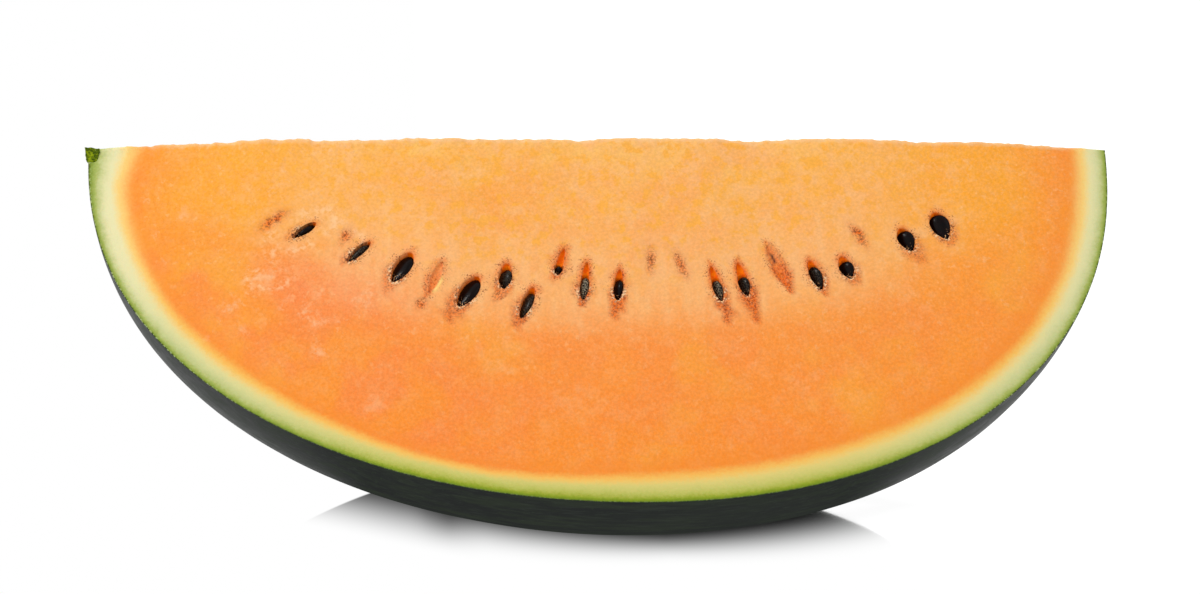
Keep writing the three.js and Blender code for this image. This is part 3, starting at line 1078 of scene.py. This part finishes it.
def cover_with_rind(p):
    """Paints the rind over the flesh, from the skin inwards. It is paler at the ends than below."""
    along, skin = p.mask("along"), p.mask("skin")
    far = p.math("ABSOLUTE", along)
    ends = p.between(far, 0.8, 0.95)
    coarse = p.times(p.minus(p.noise(5, detail=4.0), 0.5), 1.4)
    fine = p.times(p.minus(p.noise(0.9), 0.5), 1.6)
    rough = p.times(p.plus(coarse, fine), p.between(skin, 0.0, 2.0, 0.15, 1.0))
    tone = p.math("DIVIDE", p.plus(skin, rough), RIND_TONE)
    inner = p.plus(p.mask("rind"), p.math("DIVIDE", rough, RIND_USUAL))
    # The flesh is deepest next to the rind.
    p.coat(p.between(inner, 1.9, 1.2, 0.0, 0.5), 246, 142, 46)
    flesh = p.colour
    p.colour = p.mix(p.between(far, 0.35, 0.85), p.ramp(tone, RIND_BELOW), p.ramp(tone, RIND_BESIDE))
    pale = p.times(ends, p.between(tone, 0.12, 0.55, 0.0, 0.85))
    p.coat(p.times(pale, p.between(along, -0.5, 0.5, 1.0, 0.5)), 234, 226, 176)
    dots = p.times(p.spots(0.7, 0.52, 0.58, detail=2.0), p.between(skin, 0.6, 0.2))
    p.coat(p.times(dots, p.between(far, 0.6, 0.85, 0.1, 0.6)), 190, 204, 140)
    glow = p.mix(ends, seen(246, 190, 92), seen(246, 208, 122))
    p.colour = p.mix(p.between(inner, 0.6, 0.95), p.colour, glow)
    over = p.mix(ends, p.between(inner, 1.22, 0.84), p.between(inner, 1.45, 0.8))
    p.colour = p.mix(over, flesh, p.colour)


def skin_material():
    """Near-black green skin, mottled and finely scratched lengthwise, with a faint sheen at the ends."""
    p = Paint("melon_skin")
    mottle = p.noise(5, p.stretched((0.2, 1, 1)), detail=5.0, roughness=0.65)
    broad = p.spots(26, 0.45, 0.7, 0.0, 0.5, vector=p.stretched((0.35, 1, 1)), detail=2.0)
    scratches = p.spots(0.8, 0.5, 0.7, 0.0, 0.4, vector=p.stretched((0.12, 1, 1)))
    p.colour = p.mix(p.between(mottle, 0.42, 0.62), seen(57, 59, 58), seen(62, 67, 60))
    p.coat(broad, 61, 64, 61)
    p.coat(scratches, 74, 80, 74)
    p.coat(p.spots(1.1, 0.66, 0.74, 0.0, 0.4, detail=2.0), 72, 90, 66)
    p.bump(p.plus(p.noise(2.5), mottle), 0.12, 0.3)
    sheen = p.between(p.math("ABSOLUTE", p.mask("along")), 0.45, 0.85, 0.0, 0.018)
    return p.done(p.between(mottle, 0.3, 0.7, 0.32, 0.45), sheen)


def seed_material():
    """Brown-black seed coat with fine lengthwise wrinkles, scraped grey on some."""
    p = Paint("seed_coat")
    grain = p.node("Attribute", {}, attribute_name="grain").outputs["Vector"]
    lengthwise = p.node("Mapping", {"Vector": grain, "Scale": (1, 0.16, 1)}).outputs["Vector"]
    fibres = p.node("TexNoise", {"Vector": lengthwise, "Scale": 3.2, "Detail": 4.0}).outputs["Fac"]
    p.colour = p.mix(p.between(fibres, 0.35, 0.7), seen(18, 12, 10), seen(38, 27, 22))
    spots = p.node("TexNoise", {"Vector": grain, "Scale": 2.4, "Detail": 5.0}).outputs["Fac"]
    scraped = p.times(p.mask("worn"), p.between(spots, 0.46, 0.56))
    p.coat(scraped, 150, 138, 116)
    # Bits of flesh stick to its tip.
    bits = p.node("TexNoise", {"Vector": grain, "Scale": 1.6, "Detail": 2.0}).outputs["Fac"]
    bits = p.times(p.between(bits, 0.58, 0.63), p.between(p.mask("tip"), 0.6, 0.95))
    p.coat(bits, 250, 196, 140)
    p.bump(fibres, 0.35, 0.12)
    return p.done(p.between(p.math("MAXIMUM", scraped, bits), 0, 1, 0.22, 0.6), 0.07)


def scar_material():
    """Dark green cork with yellow-green crumbs."""
    p = Paint("stem_scar")
    crumbs = p.noise(1.3, detail=4.0, roughness=0.65)
    p.colour = p.mix(p.between(crumbs, 0.42, 0.62), seen(66, 84, 14), seen(140, 156, 34))
    p.bump(crumbs, 0.6, 0.6)
    return p.done(0.75, 0.05)


def floor_material():
    """A white table that glows like a light box, and is polished round the place where the wedge lies."""
    p = Paint("white_floor")
    place = p.node("SeparateXYZ", {0: p.place()}).outputs
    x = p.minus(place["X"], POLISH_MIDDLE * MM)
    reach = p.minus(POLISH_REACH * MM, p.times(p.math("POWER", x, 2.0), POLISH_CURVE / MM))
    past = p.minus(p.math("ABSOLUTE", place["Y"]), reach)
    spread = p.plus(p.times(p.math("ABSOLUTE", x), POLISH_SPREAD), POLISH_FADE * MM)
    aside = p.between(place["X"], (POLISH_END + POLISH_BLEND) * MM, (POLISH_END - POLISH_BLEND) * MM)
    # A fan of painted shade at the stem side darkens the base colour and the glow.
    shade = left_shade(p, place)
    polish = p.between(p.math("DIVIDE", past, spread), 1, -1)
    polish = p.times(polish, p.minus(1.0, aside))
    base = p.mix(polish, (0, 0, 0, 1), (0.96, 0.96, 0.96, 1))
    p.set("Base Color", p.mix(shade, base, (0, 0, 0, 1)))
    p.set("Metallic", 1.0)
    p.set("Specular Tint", p.mix(aside, (1, 1, 1, 1), (0, 0, 0, 1)))
    p.set("Roughness", 0.06)
    p.set("Emission Color", (1, 1, 1, 1))
    glow = p.times(p.between(polish, 0, 1, FLOOR_GLOW, 0.0), p.minus(1.0, shade))
    p.set("Emission Strength", glow)
    return p.material


def left_shade(p, place):
    """How dark the painted shade makes the floor at the wedge's stem side, in a fan."""
    x = p.math("DIVIDE", place["X"], MM)
    y = p.math("DIVIDE", place["Y"], MM)
    left = p.minus(SHADE_START, x)
    front = p.minus(SHADE_BACK, y)
    light = p.plus(p.times(left, SHADE_ALONG), p.times(front, SHADE_ACROSS))
    light = p.minus(light, SHADE_DEEP)
    bend = p.times(p.math("POWER", p.math("MAXIMUM", left, 0.0), 2.0), SHADE_BEND)
    edge = p.plus(p.times(left, SHADE_SLOPE), bend)
    inside = p.between(p.minus(front, edge), -SHADE_EDGE, SHADE_EDGE)
    aside = p.between(x, SHADE_MEETS + SHADE_BLEND, SHADE_MEETS - SHADE_BLEND)
    return p.times(p.between(light, 0, 1, SHADE_MOST, 0), p.times(inside, aside))


# Scene


def add_object(mesh, *materials):
    """An object in the scene with those materials."""
    made = bpy.data.objects.new(mesh.name, mesh)
    for material in materials:
        mesh.materials.append(material)
    bpy.context.scene.collection.objects.link(made)
    return made


def add_pieces():
    """The wedge, its seeds and its stem scar, in place of the CAD node."""
    wedge = add_object(wedge_mesh(), flesh_material(), skin_material())
    wedge.name = "wedge"
    seed_coat = seed_material()
    rows = [(wedge, "flesh")]
    for name, side in (("seeds_front", -1), ("seeds_back", 1)):
        rows.append((add_object(seeds_mesh(name, side), seed_coat), "seed"))
    rows.append((add_object(scar_mesh(), scar_material()), "stem"))
    for piece, slot in rows:
        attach(piece, "root")
        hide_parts(NODE)


def add_floor():
    """A wide white floor under the wedge."""
    corners = [(x * FLOOR_REACH, y * FLOOR_REACH, 0) for x, y in ((-1, -1), (1, -1), (1, 1), (-1, 1))]
    mesh = bpy.data.meshes.new("floor")
    mesh.from_pydata(corners, [], [(0, 1, 2, 3)])
    add_object(mesh, floor_material())


def add_softbox(name, place, size, power):
    """A large square lamp that points at the wedge."""
    lamp = bpy.data.lights.new(name, "AREA")
    lamp.size = size
    lamp.energy = power
    made = bpy.data.objects.new(name, lamp)
    made.location = place
    aim = Vector((0, 0, 0.06)) - Vector(place)
    made.rotation_euler = aim.to_track_quat("-Z", "Y").to_euler()
    bpy.context.scene.collection.objects.link(made)


def add_lights():
    """White surroundings, soft lamps high on the right and on the left, and a small bright one."""
    world = bpy.data.worlds.new("studio")
    world.use_nodes = True
    world.node_tree.nodes["Background"].inputs["Color"].default_value = (1, 1, 1, 1)
    world.node_tree.nodes["Background"].inputs["Strength"].default_value = 1.1
    bpy.context.scene.world = world
    add_softbox("key", (0.7, -0.6, 1.5), 0.9, 2.5)
    add_softbox("fill", (-1.2, -1.0, 0.9), 1.2, 1.5)
    add_softbox("glint", (-0.94, -0.06, 0.97), 0.32, 8)


def add_camera():
    """The camera, at the photograph's viewing angle."""
    ahead = Vector(
        (math.sin(YAW) * math.cos(ELEVATION), math.cos(YAW) * math.cos(ELEVATION), -math.sin(ELEVATION))
    )
    level = ahead.cross(Vector((0, 0, 1))).normalized()
    over = level.cross(ahead)
    right = level * math.cos(ROLL) + over * math.sin(ROLL)
    up = over * math.cos(ROLL) - level * math.sin(ROLL)
    aim = Vector((MIDDLE_X + AIM_X, 0, AXIS_HEIGHT - AIM_BELOW_AXIS)) * MM
    camera = bpy.data.cameras.new("camera")
    camera.sensor_width = SENSOR_WIDTH
    camera.lens = SENSOR_WIDTH * FOCAL_PIXELS / PHOTO_WIDTH
    made = bpy.data.objects.new("camera", camera)
    made.matrix_world = Matrix.Translation(aim - ahead * DISTANCE * MM) @ Matrix(
        (right, up, -ahead)
    ).transposed().to_4x4()
    bpy.context.scene.collection.objects.link(made)
    bpy.context.scene.camera = made


add_camera()
add_pieces()
add_floor()
add_lights()
bpy.context.scene.view_settings.view_transform = "Standard"
